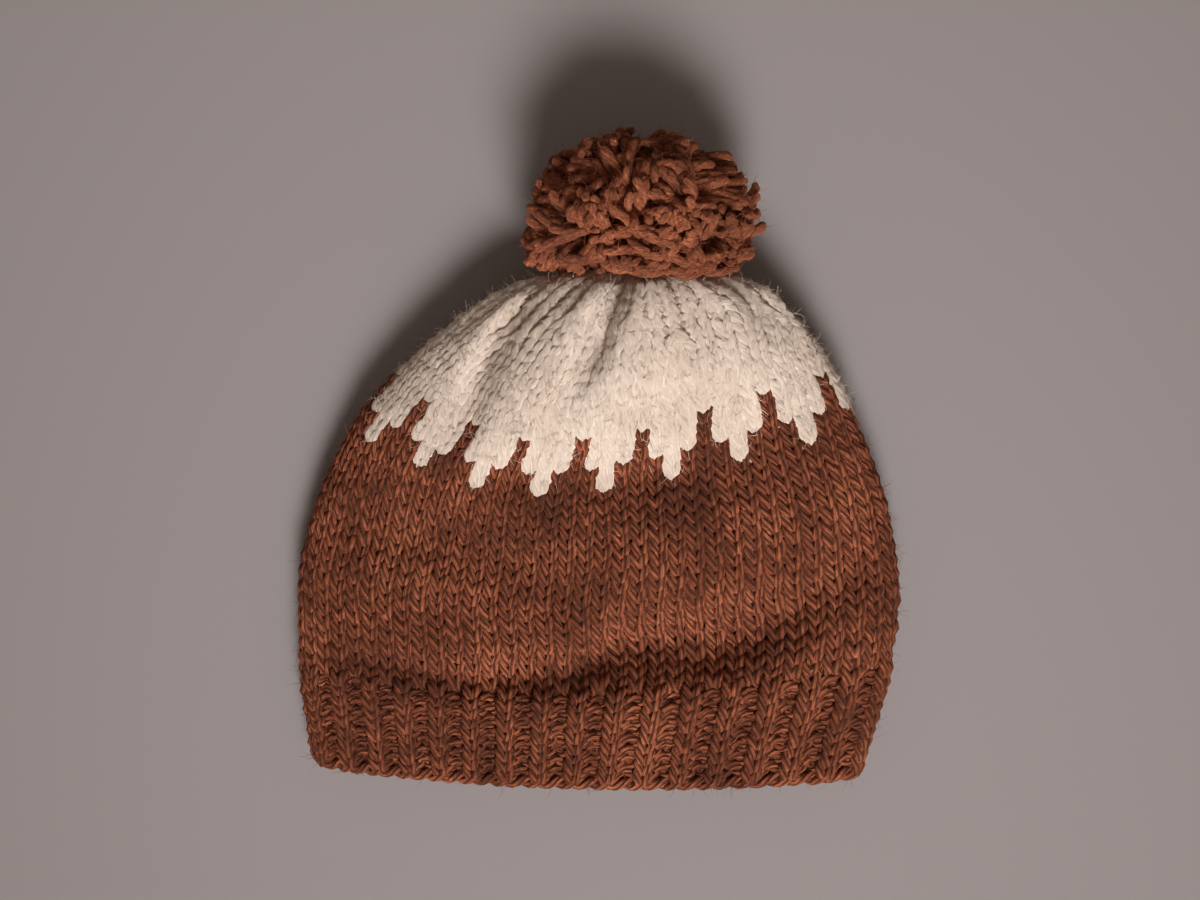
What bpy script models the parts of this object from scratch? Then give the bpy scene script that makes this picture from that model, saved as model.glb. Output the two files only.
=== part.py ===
# Knit baby hat with a pompom, lying on its back on a table.
# Metres. +Z is up from the table, +Y runs from the cast-on edge to the pompom.

import math
import random
from collections import namedtuple

import bmesh
import bpy
import numpy as np

# Sizes of the knitting as it lies
FLAT_WIDTH = 0.1785
HAT_LENGTH = 0.154
CROWN_THICKNESS = 0.035
SIDE_RADIUS = 0.008
WALL = 0.0038
REST_SINK = 0.0008
ORIGIN_FROM_BRIM = 0.070

# Counts of the knitting
DRIP_REPEATS = 17
DRIP_STITCHES = 4
STITCHES = DRIP_REPEATS * DRIP_STITCHES
ROWS = 46
RIB_ROWS = 9
ROWS_TO_LONG_DRIP = 17
LONG_TO_MIDDLE_ROWS = 2.5
MIDDLE_TO_SHORT_ROWS = 3
POLE_ROWS_OPEN = 1.2
RIB_TOP = RIB_ROWS / ROWS
LONG_DRIP = (RIB_ROWS + ROWS_TO_LONG_DRIP) / ROWS
DRIP_SHARES = (
    LONG_DRIP,
    LONG_DRIP + LONG_TO_MIDDLE_ROWS / ROWS,
    LONG_DRIP + (LONG_TO_MIDDLE_ROWS + MIDDLE_TO_SHORT_ROWS) / ROWS,
)

# Stitches that the wales lie round to the right of an even spacing
TURNED_MIDDLE = -0.42
TURNED_SIDES = 0.85

# Levels of points up each piece
RIB_LEVELS = (0.012, 0.075, 0.135)
BODY_LEVELS = 8
CROWN_LEVELS = 7
FIRST_CROWN_STEP = 0.16
ROUND_SAMPLES = 181

# Ribs and gathers
RIB_DEPTH = 0.0026
RIB_EDGE_ROUND = 0.0018
GATHERS = 11
GATHER_SHARE = 0.06
GATHER_START = 0.74
DOME = 0.18

# Pompom
POMPOM_WIDTH = 0.070
POMPOM_RISE = 0.028
POMPOM_SEAT = 0.0155
POMPOM_THICKNESS = 0.058
POMPOM_LIFT = 0.0275
POMPOM_SPREAD = 0.09
POMPOM_SINK = 0.004
TABLE_PRESS = 0.002
SEAT_CURVE_ACROSS = 4.0
SEAT_CURVE_UP = 16.0
LOCK_LENGTH = 0.0065
LOCK_TOP_SHARE = 0.58
LOCK_LEAN = 0.0016
LOCK_SHORTEST = 0.72
LOCK_SHOULDER = 0.86
LOCK_TIP_LEAN = 1.2
POMPOM_SEED = 7

# Clearance between neighbouring pieces, and the same as a share and in stitches: the
# rounds lie closer together near the sides, so the share is a little wider than the gap.
GAP = 0.0003
GAP_SHARE = 1.4 * GAP / HAT_LENGTH
GAP_STITCH = 2 * GAP / (FLAT_WIDTH * 2 / STITCHES)

# Edges sharper than these stay sharp, in degrees
RIB_SHARP = 50
WALL_SHARP = 60
LOCK_SHARP = 30

# How the rounds lie, from the cast-on edge (0) to the pole (1).
# left, right: side folds, shares of FLAT_WIDTH from the centre line.
# left_up, right_up, middle_up: how far up, shares of HAT_LENGTH.
# skew: how much higher the right half of a round lies than the left, same shares.
# fold, front, back: heights over the table, shares of CROWN_THICKNESS.
Round = namedtuple("Round", "share left right left_up right_up middle_up skew fold front back")
ROUNDS = (
    Round(0.000, -0.474, 0.430, 0.040, 0.014, 0.000, 0.000, 0.25, 0.53, 0.00),
    Round(0.098, -0.488, 0.458, 0.136, 0.124, 0.093, 0.000, 0.25, 0.56, 0.00),
    Round(0.196, -0.499, 0.484, 0.231, 0.231, 0.185, 0.010, 0.25, 0.60, 0.00),
    Round(0.320, -0.502, 0.498, 0.390, 0.384, 0.316, 0.030, 0.25, 0.63, 0.00),
    Round(0.440, -0.472, 0.480, 0.550, 0.536, 0.446, 0.055, 0.26, 0.64, 0.00),
    Round(0.565, -0.413, 0.434, 0.697, 0.689, 0.578, 0.075, 0.31, 0.69, 0.00),
    Round(0.685, -0.328, 0.386, 0.811, 0.811, 0.688, 0.080, 0.39, 0.86, 0.00),
    Round(0.800, -0.239, 0.328, 0.895, 0.899, 0.804, 0.060, 0.49, 0.99, 0.00),
    Round(0.900, -0.152, 0.262, 0.958, 0.967, 0.901, 0.030, 0.57, 1.00, 0.09),
    Round(0.970, -0.066, 0.192, 0.986, 0.986, 0.961, 0.010, 0.60, 0.95, 0.34),
    Round(1.000, 0.066, 0.066, 1.000, 1.000, 1.000, 0.000, 0.60, 0.60, 0.60),
)

# Dents (depth over 0) and swells (under 0) of the front. Each follows a path of
# stations, which climbs from station to station ("up") or crosses the hat ("across").
# across: share of FLAT_WIDTH, up: share of HAT_LENGTH, depth: share of
# CROWN_THICKNESS, spread: share of FLAT_WIDTH, measured across the path.
Station = namedtuple("Station", "across up depth spread")
FOLDS = {
    ("left_crease", "up"): (
        Station(-0.232, 0.620, 0.00, 0.040),
        Station(-0.212, 0.745, 0.16, 0.032),
        Station(-0.168, 0.862, 0.25, 0.028),
        Station(-0.098, 0.985, 0.24, 0.026),
    ),
    ("middle_crease", "up"): (
        Station(-0.052, 0.700, 0.00, 0.040),
        Station(-0.028, 0.790, 0.08, 0.028),
        Station(0.002, 0.870, 0.15, 0.024),
        Station(0.030, 0.985, 0.16, 0.024),
    ),
    ("right_puff", "across"): (
        Station(0.080, 0.880, -0.03, 0.080),
        Station(0.230, 0.800, -0.05, 0.080),
    ),
    ("valley_over_rib", "across"): (
        Station(-0.454, 0.262, 0.04, 0.030),
        Station(-0.208, 0.212, 0.12, 0.032),
        Station(-0.044, 0.230, 0.18, 0.036),
        Station(0.060, 0.282, 0.26, 0.050),
        Station(0.175, 0.286, 0.25, 0.050),
        Station(0.311, 0.346, 0.16, 0.048),
        Station(0.410, 0.425, 0.06, 0.044),
    ),
    ("belly", "across"): (
        Station(-0.066, 0.420, -0.03, 0.090),
        Station(0.164, 0.460, -0.08, 0.095),
        Station(0.328, 0.510, -0.04, 0.090),
    ),
    ("valley_under_drips", "across"): (
        Station(-0.120, 0.590, 0.05, 0.050),
        Station(0.040, 0.590, 0.10, 0.050),
        Station(0.180, 0.600, 0.06, 0.050),
    ),
    ("left_dip", "across"): (
        Station(-0.430, 0.505, 0.06, 0.055),
        Station(-0.300, 0.490, 0.08, 0.050),
        Station(-0.196, 0.445, 0.08, 0.050),
        Station(-0.098, 0.410, 0.07, 0.050),
    ),
    ("left_hollow", "across"): (
        Station(-0.430, 0.345, 0.04, 0.065),
        Station(-0.180, 0.310, 0.07, 0.060),
        Station(-0.060, 0.320, 0.04, 0.060),
    ),
}
FOLD_END_FADE = 0.07

RUST = (0.150, 0.048, 0.022)
RUST_POMPOM = (0.110, 0.034, 0.017)
CREAM = (0.600, 0.480, 0.385)


def smooth_column(shares, values, at, level_ends=False):
    """Cubic interpolation through the table's rows, with slopes that never overshoot."""
    shares = np.array(shares)
    values = np.array(values)
    widths = np.diff(shares)
    rises = np.diff(values) / widths
    slopes = np.empty(len(values))
    slopes[0] = 0.0 if level_ends else rises[0]
    slopes[-1] = 0.0 if level_ends else rises[-1]
    same_way = rises[1:] * rises[:-1] > 0
    total = np.where(same_way, rises[1:] + rises[:-1], 1.0)
    slopes[1:-1] = np.where(same_way, 2 * rises[1:] * rises[:-1] / total, 0.0)
    at = np.clip(at, shares[0], shares[-1])
    row = np.clip(np.searchsorted(shares, at, side="right") - 1, 0, len(widths) - 1)
    w = widths[row]
    p = (at - shares[row]) / w
    return (
        values[row] * (1 + 2 * p) * (1 - p) ** 2
        + slopes[row] * w * p * (1 - p) ** 2
        + values[row + 1] * p**2 * (3 - 2 * p)
        + slopes[row + 1] * w * p**2 * (p - 1)
    )


def round_at(share):
    """The table's columns, read at any share of the rounds."""
    shares = [r.share for r in ROUNDS]
    return Round(
        share,
        *(
            smooth_column(shares, [getattr(r, name) for r in ROUNDS], share)
            for name in Round._fields[1:]
        ),
    )


def fold_depth(across, up, way, stations):
    """How deep one dent is at plan points, in metres: a bell across its path."""
    along, away = (up, across) if way == "up" else (across, up * HAT_LENGTH / FLAT_WIDTH)
    path = [getattr(station, way) for station in stations]
    side = "across" if way == "up" else "up"
    scale = 1.0 if way == "up" else HAT_LENGTH / FLAT_WIDTH
    centre, depth, spread = (
        smooth_column(path, [getattr(station, name) for station in stations], along, True)
        for name in (side, "depth", "spread")
    )
    centre *= scale
    past_end = np.maximum(0.0, np.maximum(path[0] - along, along - path[-1]))
    bell = ((away - centre) / spread) ** 2 + (past_end / FOLD_END_FADE) ** 2
    return depth * CROWN_THICKNESS * np.exp(-bell)


def fabric_point(turn, share):
    """Outer face of the knitting. turn: 0 to 1 over the front from the left fold
    to the right one, 1 to 2 back along the underside. share: cast-on edge to pole."""
    r = round_at(share)
    s = -np.cos(math.pi * turn)
    half = np.maximum((r.right - r.left) / 2 * FLAT_WIDTH, 1e-6)
    centre = (r.right + r.left) / 2 * FLAT_WIDTH
    fold = r.fold * CROWN_THICKNESS
    rise = np.maximum((r.front - r.fold) * CROWN_THICKNESS, 1e-6)
    drop = np.maximum((r.fold - r.back) * CROWN_THICKNESS, 1e-6)
    on_front = turn % 2 < 1
    height = np.where(on_front, rise, drop)
    # A higher power keeps the sides round at SIDE_RADIUS and the middle flat.
    power = np.maximum(2.0, 2 * SIDE_RADIUS * half / height**2)
    bulge = np.sqrt(np.maximum(0.0, 1 - np.abs(s) ** power))
    dome = np.where(on_front, 1 - DOME * s**2, 1.0)
    gathered = np.clip((share - GATHER_START) / (1 - GATHER_START), 0.0, 1.0)
    pleat = 1 + GATHER_SHARE * gathered * np.cos(math.pi * GATHERS * turn)
    across = (centre + half * s) / FLAT_WIDTH
    x = centre + half * s * pleat
    side_up = r.left_up + (r.right_up - r.left_up) * (s + 1) / 2
    middle = r.middle_up - (r.left_up + r.right_up) / 2
    up = side_up + (middle + r.skew * s) * (1 - s**2)
    z = height * bulge * dome * pleat
    dent = sum(
        fold_depth(across, up, way, stations) for (_, way), stations in FOLDS.items()
    )
    z_front = fold + z - dent * bulge**2
    z_back = np.maximum(0.0, fold - z * (1 + REST_SINK / drop))
    y = up * HAT_LENGTH - ORIGIN_FROM_BRIM
    return np.stack([x, y, np.where(on_front, z_front, z_back)], axis=-1)


def fabric_normal(turn, share):
    step = 1e-3
    share = np.clip(share, step, 1 - 2 * step)
    along_turn = fabric_point(turn + step, share) - fabric_point(turn - step, share)
    along_share = fabric_point(turn, share + step) - fabric_point(turn, share - step)
    normal = np.cross(along_turn, along_share)
    return normal / np.linalg.norm(normal, axis=-1, keepdims=True)


def wale_turns(stitches, share):
    """Where wales cross one round: spaced evenly over the front and over the back,
    then turned a little round the hat."""
    from_middle = np.minimum(np.abs(stitches / (STITCHES / 4) - 1), 1.0)
    turned = TURNED_MIDDLE + (TURNED_SIDES - TURNED_MIDDLE) * from_middle**2
    stitches = np.mod(stitches + turned, STITCHES)
    fine = np.linspace(0.0, 1.0, ROUND_SAMPLES)
    turns = np.empty(len(stitches))
    half_count = STITCHES / 2
    for side in (0, 1):
        points = fabric_point(fine + side * (1 - 1e-9), np.full(fine.shape, share))
        steps = np.linalg.norm(np.diff(points, axis=0), axis=1)
        lengths = np.concatenate([[0.0], np.cumsum(steps)]) / steps.sum()
        here = (stitches // half_count).astype(int) % 2 == side
        wanted = stitches[here] / half_count % 1
        turns[here] = side + np.interp(wanted, lengths, fine)
    return turns


def fabric_faces(stitches, shares, raised=0.0, depth=WALL):
    """Outer and inner points of the wall at a grid of stitches and shares."""
    outer = np.empty((len(shares), len(stitches), 3))
    inner = np.empty(outer.shape)
    for k, share in enumerate(shares):
        turn = wale_turns(stitches, share)
        at = np.full(turn.shape, share)
        point = fabric_point(turn, at)
        normal = fabric_normal(turn, at)
        lift = normal * np.broadcast_to(raised, turn.shape)[:, None]
        outer[k] = point + lift
        inner[k] = point + lift - normal * depth
    outer[..., 2] = np.maximum(outer[..., 2], 0.0)
    return outer, inner


def material(name, colour):
    made = bpy.data.materials.new(name)
    made.use_nodes = True
    shader = made.node_tree.nodes["Principled BSDF"]
    shader.inputs["Base Color"].default_value = (*colour, 1.0)
    shader.inputs["Roughness"].default_value = 0.92
    shader.inputs["Metallic"].default_value = 0.0
    return made


def finish(name, mesh_data, made_of, sharp_angle):
    mesh = bpy.data.meshes.new(name)
    mesh_data.to_mesh(mesh)
    mesh_data.free()
    mesh.shade_smooth()
    mesh.set_sharp_from_angle(angle=math.radians(sharp_angle))
    mesh.materials.append(made_of)
    part = bpy.data.objects.new(name, mesh)
    bpy.context.scene.collection.objects.link(part)
    return part


def wall_mesh(outer, inner, present, lip=None, pole=None):
    """A closed wall over the grid cells that are present. lip: middle points of a
    rounded lower edge. pole: outer and inner point that close the top."""
    levels, columns = outer.shape[:2]
    bm = bmesh.new()
    outside = {}
    inside = {}

    def vert(store, points, k, i):
        i %= columns
        if (k, i) not in store:
            store[k, i] = bm.verts.new(points[k, i])
        return store[k, i]

    def out(k, i):
        return vert(outside, outer, k, i)

    def into(k, i):
        return vert(inside, inner, k, i)

    def cell(k, i):
        return 0 <= k < levels - 1 and present[k, i % columns]

    for k in range(levels - 1):
        for i in range(columns):
            if not cell(k, i):
                continue
            bm.faces.new((out(k, i), out(k, i + 1), out(k + 1, i + 1), out(k + 1, i)))
            bm.faces.new((into(k, i), into(k + 1, i), into(k + 1, i + 1), into(k, i + 1)))
            if not cell(k - 1, i) and not (lip is not None and k == 0):
                bm.faces.new((out(k, i), into(k, i), into(k, i + 1), out(k, i + 1)))
            if not cell(k + 1, i) and not (pole is not None and k == levels - 2):
                bm.faces.new(
                    (out(k + 1, i), out(k + 1, i + 1), into(k + 1, i + 1), into(k + 1, i))
                )
            if not cell(k, i - 1):
                bm.faces.new((out(k, i), out(k + 1, i), into(k + 1, i), into(k, i)))
            if not cell(k, i + 1):
                bm.faces.new(
                    (out(k, i + 1), into(k, i + 1), into(k + 1, i + 1), out(k + 1, i + 1))
                )
    if lip is not None:
        edge = [bm.verts.new(point) for point in lip]
        for i in range(columns):
            j = (i + 1) % columns
            bm.faces.new((edge[i], edge[j], out(0, j), out(0, i)))
            bm.faces.new((edge[i], into(0, i), into(0, j), edge[j]))
    if pole is not None:
        tip, under = (bm.verts.new(point) for point in pole)
        top = levels - 1
        for i in range(columns):
            bm.faces.new((out(top, i), out(top, i + 1), tip))
            bm.faces.new((into(top, i + 1), into(top, i), under))
    return bm


def drip_top_share(column):
    """The share at which the rust ends and the cream begins on one wale."""
    step = (1, 0, 1, 2)[column % DRIP_STITCHES]
    return DRIP_SHARES[step]


def ribbed_brim():
    """One knit wale standing proud, one purl wale set back, all the way round."""
    stitches = np.arange(2 * STITCHES) / 2
    shares = np.array([*RIB_LEVELS, RIB_TOP - GAP_SHARE])
    wave = RIB_DEPTH / 2 * np.cos(math.pi * (stitches - 0.5))
    outer, inner = fabric_faces(stitches, shares, wave)
    lip = (outer[0] + inner[0]) / 2
    lip[:, 1] -= RIB_EDGE_ROUND
    present = np.ones((len(shares) - 1, len(stitches)), bool)
    bm = wall_mesh(outer, inner, present, lip=lip)
    return finish("ribbed_brim", bm, material("rust_wool_rib", RUST), RIB_SHARP)


def inset_border(stitches, shares, present, below, above):
    """Moves each grid point on the drip border half a gap into its own piece.
    below, above: whether the piece's own fabric goes on past the grid's two ends."""
    levels, columns = len(shares), len(stitches)
    at_stitch = np.repeat(stitches[None, :].astype(float), levels, axis=0)
    at_share = np.repeat(shares[:, None], columns, axis=1)
    ends = np.ones((1, columns), int)
    cells = np.concatenate([ends * below, present.astype(int), ends * above])
    for k in range(levels):
        for i in range(columns):
            left = cells[k, i - 1] + cells[k + 1, i - 1]
            right = cells[k, i] + cells[k + 1, i]
            lower = cells[k, i - 1] + cells[k, i]
            upper = cells[k + 1, i - 1] + cells[k + 1, i]
            at_stitch[k, i] += np.sign(right - left) * GAP_STITCH / 2
            at_share[k, i] += np.sign(upper - lower) * GAP_SHARE / 2
    return at_stitch, at_share


def drip_piece(name, made_of, shares, present, below, above, pole=None):
    """A wall whose edge is stepped where the two colours meet."""
    stitches = np.arange(STITCHES)
    at_stitch, at_share = inset_border(stitches, shares, present, below, above)
    outer = np.empty((len(shares), STITCHES, 3))
    inner = np.empty(outer.shape)
    for k in range(len(shares)):
        for own_share in np.unique(at_share[k]):
            here = at_share[k] == own_share
            out_points, in_points = fabric_faces(at_stitch[k][here] % STITCHES, [own_share])
            outer[k][here] = out_points[0]
            inner[k][here] = in_points[0]
    bm = wall_mesh(outer, inner, present, pole=pole)
    return finish(name, bm, made_of, WALL_SHARP)


def body():
    """The plain tube above the band, up to the peaks between the drips."""
    shares = np.concatenate(
        [np.linspace(RIB_TOP + GAP_SHARE, DRIP_SHARES[0], BODY_LEVELS), DRIP_SHARES[1:]]
    )
    tops = np.array([drip_top_share(i) for i in range(STITCHES)])
    present = shares[:-1, None] < tops[None, :] - 1e-9
    wool = material("rust_wool_plain", RUST)
    return drip_piece("body", wool, shares, present, below=1, above=0)


def crown():
    """The cream top, from the drips to the drawn-in pole."""
    last = 1 - POLE_ROWS_OPEN / ROWS
    steps = np.linspace(FIRST_CROWN_STEP, 1, CROWN_LEVELS)
    shares = np.concatenate([DRIP_SHARES, DRIP_SHARES[2] + (last - DRIP_SHARES[2]) * steps])
    tops = np.array([drip_top_share(i) for i in range(STITCHES)])
    present = shares[:-1, None] >= tops[None, :] - 1e-9
    tip = fabric_point(np.array([0.5]), np.array([1.0]))[0]
    pole = (tip, tip - np.array([0.0, WALL, 0.0]))
    wool = material("cream_wool", CREAM)
    return drip_piece("crown", wool, shares, present, below=0, above=1, pole=pole)


def pompom():
    """A round head whose every face is drawn out into a lock of cut yarn."""
    rng = random.Random(POMPOM_SEED)
    pole = fabric_point(np.array([0.5]), np.array([1.0]))[0]
    centre = np.array([pole[0], pole[1] + POMPOM_SEAT - POMPOM_SINK, POMPOM_LIFT])
    half = np.array([POMPOM_WIDTH / 2, POMPOM_RISE, POMPOM_THICKNESS / 2])
    bm = bmesh.new()
    bmesh.ops.create_icosphere(bm, subdivisions=3, radius=1.0)
    for v in bm.verts:
        v.co = v.co.normalized()
    head = half - LOCK_LENGTH
    for face in list(bm.faces):
        middle = np.array(face.calc_center_median().normalized())
        corners = [v for v in face.verts]
        reach = rng.uniform(LOCK_SHORTEST, 1.0)
        lean = np.array([rng.uniform(-1, 1) for _ in range(3)]) * LOCK_LEAN
        lean -= middle * lean.dot(middle)
        ring = []
        for v in corners:
            toward = middle + (np.array(v.co) - middle) * LOCK_TOP_SHARE
            toward /= np.linalg.norm(toward)
            point = toward * (head + LOCK_LENGTH * reach * LOCK_SHOULDER) + lean
            ring.append(point)
        tip = middle * (head + LOCK_LENGTH * reach) + lean * LOCK_TIP_LEAN
        bm.faces.remove(face)
        top = [bm.verts.new(point / half) for point in ring]
        crest = bm.verts.new(tip / half)
        for i in range(3):
            j = (i + 1) % 3
            bm.faces.new((corners[i], corners[j], top[j], top[i]))
            bm.faces.new((top[i], top[j], crest))
        for v in corners:
            v.tag = True
    for v in bm.verts:
        at = np.array(v.co)
        at = at * head if v.tag else at * half
        v.co = settle(at, centre, pole)
    bm.normal_update()
    return finish("pompom", bm, material("rust_wool_pompom", RUST_POMPOM), LOCK_SHARP)


def settle(at, centre, pole):
    """Presses a pompom point flat towards the table and onto the crown."""
    x, y, z = at
    if y < 0:
        pressed = math.tanh(-y / POMPOM_SEAT)
        y = -POMPOM_SEAT * pressed
        x *= 1 + POMPOM_SPREAD * pressed
    x, y, z = x + centre[0], y + centre[1], z + centre[2]
    if z < TABLE_PRESS:
        z = TABLE_PRESS * math.exp((z - TABLE_PRESS) / TABLE_PRESS)
    off_pole = (x - pole[0]) ** 2 * SEAT_CURVE_ACROSS + (z - pole[2]) ** 2 * SEAT_CURVE_UP
    return (x, max(y, pole[1] - off_pole + GAP), z)


def main():
    for old in list(bpy.data.objects):
        bpy.data.objects.remove(old, do_unlink=True)
    ribbed_brim()
    body()
    crown()
    pompom()


main()
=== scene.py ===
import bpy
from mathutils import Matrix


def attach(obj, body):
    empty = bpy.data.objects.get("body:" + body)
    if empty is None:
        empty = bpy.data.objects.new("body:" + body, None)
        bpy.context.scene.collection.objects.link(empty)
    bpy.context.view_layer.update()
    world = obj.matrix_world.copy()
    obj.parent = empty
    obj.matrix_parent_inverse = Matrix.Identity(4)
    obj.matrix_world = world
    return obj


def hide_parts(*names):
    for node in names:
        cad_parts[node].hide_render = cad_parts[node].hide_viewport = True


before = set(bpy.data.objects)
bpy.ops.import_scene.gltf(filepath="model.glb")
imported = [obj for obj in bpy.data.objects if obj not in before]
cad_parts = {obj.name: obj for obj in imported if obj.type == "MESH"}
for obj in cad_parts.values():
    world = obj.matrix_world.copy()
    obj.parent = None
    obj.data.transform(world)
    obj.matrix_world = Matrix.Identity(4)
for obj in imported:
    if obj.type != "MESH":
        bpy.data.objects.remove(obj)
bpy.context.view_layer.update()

import math
from collections import namedtuple

import bpy
import numpy as np
from mathutils import Vector

# Ribbed brim. The hat is knitted in the round from the cast-on edge up, in a heathered
# rust worsted wool. The first nine rounds are one-by-one rib: a knit wale stands proud
# beside each purl wale, which keeps the edge elastic. The edge is a long-tail cast-on.
FLAT_WIDTH = 0.1785
HAT_LENGTH = 0.154
CROWN_THICKNESS = 0.035
SIDE_RADIUS = 0.008
WALL = 0.0038
REST_SINK = 0.0008
ORIGIN_FROM_BRIM = 0.070
STITCHES = 68
ROWS = 46
RIB_ROWS = 9
RIB_DEPTH = 0.0026
DOME = 0.18            # how much higher a round's middle is than its shoulders
GATHERS = 11
GATHER_SHARE = 0.06
GATHER_START = 0.74

# The fabric's rounds, from the edge (share 0) to the pole (share 1). Sides and ends are
# shares of the width and the length, and fold, front and back are shares of the thickness.
Round = namedtuple("Round", "share left right left_up right_up middle_up skew fold front back")
ROUNDS = (
    Round(0.000, -0.474, 0.430, 0.040, 0.014, 0.000, 0.000, 0.25, 0.53, 0.00),
    Round(0.098, -0.488, 0.458, 0.136, 0.124, 0.093, 0.000, 0.25, 0.56, 0.00),
    Round(0.196, -0.499, 0.484, 0.231, 0.231, 0.185, 0.010, 0.25, 0.60, 0.00),
    Round(0.320, -0.502, 0.498, 0.390, 0.384, 0.316, 0.030, 0.25, 0.63, 0.00),
    Round(0.440, -0.472, 0.480, 0.550, 0.536, 0.446, 0.055, 0.26, 0.64, 0.00),
    Round(0.565, -0.413, 0.434, 0.697, 0.689, 0.578, 0.075, 0.31, 0.69, 0.00),
    Round(0.685, -0.328, 0.386, 0.811, 0.811, 0.688, 0.080, 0.39, 0.86, 0.00),
    Round(0.800, -0.239, 0.328, 0.895, 0.899, 0.804, 0.060, 0.49, 0.99, 0.00),
    Round(0.900, -0.152, 0.262, 0.958, 0.967, 0.901, 0.030, 0.57, 1.00, 0.09),
    Round(0.970, -0.066, 0.192, 0.986, 0.986, 0.961, 0.010, 0.60, 0.95, 0.34),
    Round(1.000, 0.066, 0.066, 1.000, 1.000, 1.000, 0.000, 0.60, 0.60, 0.60),
)
# Dents of the front, and puffs where the depth is below nothing. Each is a bell across a
# path of stations, with its depth as a share of the thickness.
Station = namedtuple("Station", "across up depth spread")
FOLDS = {
    ("left_crease", "up"): (
        Station(-0.232, 0.620, 0.00, 0.040),
        Station(-0.212, 0.745, 0.16, 0.032),
        Station(-0.168, 0.862, 0.22, 0.026),
        Station(-0.098, 0.985, 0.20, 0.024),
    ),
    ("middle_crease", "up"): (
        Station(-0.052, 0.700, 0.00, 0.040),
        Station(-0.028, 0.790, 0.08, 0.024),
        Station(0.002, 0.870, 0.15, 0.020),
        Station(0.030, 0.985, 0.16, 0.020),
    ),
    ("right_puff", "across"): (
        Station(0.080, 0.880, -0.03, 0.080),
        Station(0.230, 0.800, -0.05, 0.080),
    ),
    ("valley_over_rib", "across"): (
        Station(-0.454, 0.262, 0.04, 0.030),
        Station(-0.208, 0.212, 0.12, 0.032),
        Station(-0.044, 0.230, 0.18, 0.036),
        Station(0.060, 0.279, 0.28, 0.055),
        Station(0.175, 0.283, 0.28, 0.057),
        Station(0.311, 0.337, 0.19, 0.057),
        Station(0.410, 0.405, 0.09, 0.052),
    ),
    ("belly", "across"): (
        Station(-0.066, 0.440, -0.04, 0.090),
        Station(0.164, 0.495, -0.09, 0.100),
        Station(0.328, 0.530, -0.04, 0.090),
    ),
    ("valley_under_drips", "across"): (
        Station(-0.120, 0.590, 0.04, 0.050),
        Station(0.040, 0.590, 0.07, 0.050),
        Station(0.180, 0.600, 0.05, 0.050),
    ),
    ("left_dip", "across"): (
        Station(-0.430, 0.505, 0.06, 0.055),
        Station(-0.300, 0.490, 0.08, 0.050),
        Station(-0.196, 0.445, 0.08, 0.050),
        Station(-0.098, 0.410, 0.07, 0.050),
    ),
    ("left_hollow", "across"): (
        Station(-0.430, 0.345, 0.04, 0.065),
        Station(-0.180, 0.310, 0.07, 0.060),
        Station(-0.060, 0.320, 0.04, 0.060),
    ),
}
FOLD_END_FADE = 0.07


def smooth_column(shares, values, at, level_ends=False):
    """Cubic interpolation through a table's rows, with slopes that never overshoot."""
    shares = np.array(shares)
    values = np.array(values)
    widths = np.diff(shares)
    rises = np.diff(values) / widths
    slopes = np.empty(len(values))
    slopes[0] = 0.0 if level_ends else rises[0]
    slopes[-1] = 0.0 if level_ends else rises[-1]
    same_way = rises[1:] * rises[:-1] > 0
    total = np.where(same_way, rises[1:] + rises[:-1], 1.0)
    slopes[1:-1] = np.where(same_way, 2 * rises[1:] * rises[:-1] / total, 0.0)
    at = np.clip(at, shares[0], shares[-1])
    row = np.clip(np.searchsorted(shares, at, side="right") - 1, 0, len(widths) - 1)
    w = widths[row]
    p = (at - shares[row]) / w
    return (
        values[row] * (1 + 2 * p) * (1 - p) ** 2
        + slopes[row] * w * p * (1 - p) ** 2
        + values[row + 1] * p**2 * (3 - 2 * p)
        + slopes[row + 1] * w * p**2 * (p - 1)
    )


def round_at(share):
    """The rounds' columns, read at any share of the way to the pole."""
    shares = [r.share for r in ROUNDS]
    columns = (
        smooth_column(shares, [getattr(r, name) for r in ROUNDS], share)
        for name in Round._fields[1:]
    )
    return Round(share, *columns)


def fold_depth(across, up, way, stations):
    """How deep one dent is at plan points, in metres: a bell across its path."""
    along, away = (up, across) if way == "up" else (across, up * HAT_LENGTH / FLAT_WIDTH)
    path = [getattr(station, way) for station in stations]
    side = "across" if way == "up" else "up"
    centre, depth, spread = (
        smooth_column(path, [getattr(station, name) for station in stations], along, True)
        for name in (side, "depth", "spread")
    )
    centre = centre if way == "up" else centre * HAT_LENGTH / FLAT_WIDTH
    past_end = np.maximum(0.0, np.maximum(path[0] - along, along - path[-1]))
    bell = ((away - centre) / spread) ** 2 + (past_end / FOLD_END_FADE) ** 2
    return depth * CROWN_THICKNESS * np.exp(-bell)


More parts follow.
